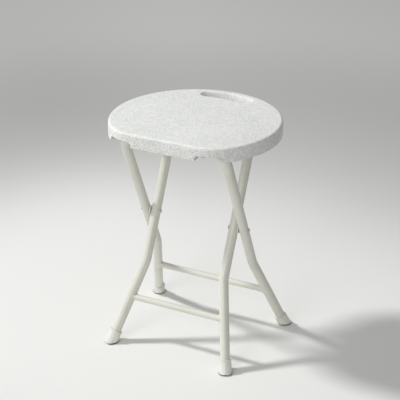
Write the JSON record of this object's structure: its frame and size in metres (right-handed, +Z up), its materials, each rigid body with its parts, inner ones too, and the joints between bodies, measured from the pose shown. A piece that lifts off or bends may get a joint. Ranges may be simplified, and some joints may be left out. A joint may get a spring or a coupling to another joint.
{
  "type": "folding stool",
  "caption": "Folding stool: moulded plastic seat with a handle slot, on crossed bent-tube frames that pivot on rivets, with thin crossbars and flared foot caps.",
  "frame": {"origin": "on the floor, in the middle of the stool's width and length", "axes": "+Z up, +X along the crossbars to the right of a person who looks at the stool's straight front, +Y from the front to the handle slot at the back"},
  "size_m": [0.317, 0.2868, 0.44],
  "materials": {
    "seat_plastic": "fine leather grain, matte",
    "powder_coat": "satin powder coat on steel tube",
    "cap_plastic": "satin",
    "bracket_plastic": "satin",
    "spacer_plastic": "satin",
    "rivet_steel": "zinc-plated, slightly dull",
    "screw_steel": "zinc-plated"
  },
  "bodies": {
    "outer_frame": {"outer_frame_tube": "powder_coat", "outer_crossbar": "powder_coat", "outer_crossbar_welds": "powder_coat", "left_pivot_rivet": "rivet_steel", "right_pivot_rivet": "rivet_steel", "left_pivot_spacer": "spacer_plastic", "right_pivot_spacer": "spacer_plastic", "rear_left_foot_cap": "cap_plastic", "rear_right_foot_cap": "cap_plastic"},
    "inner_frame": {"inner_frame_tube": "powder_coat", "inner_crossbar": "powder_coat", "inner_crossbar_welds": "powder_coat", "front_left_foot_cap": "cap_plastic", "front_right_foot_cap": "cap_plastic"},
    "seat": {"seat": "seat_plastic", "left_hinge_strap": "bracket_plastic", "right_hinge_strap": "bracket_plastic", "hinge_strap_screws": "screw_steel", "left_catch_clip": "bracket_plastic", "right_catch_clip": "bracket_plastic", "catch_clip_screws": "screw_steel"}
  },
  "joints": [
    {"name": "seat_fold", "type": "hinge", "parent": "outer_frame", "child": "seat", "pos_m": [0, -0.102, 0.4185], "axis": [1, 0, 0], "range_deg": [0, 105]},
    {"name": "frame_scissor", "type": "hinge", "parent": "outer_frame", "child": "inner_frame", "pos_m": [0, -0.0201, 0.24], "axis": [1, 0, 0], "range_deg": [0, 42]}
  ],
  "couplings": [
    {"joint": "frame_scissor", "follows": "seat_fold", "ratio": 0.4}
  ]
}
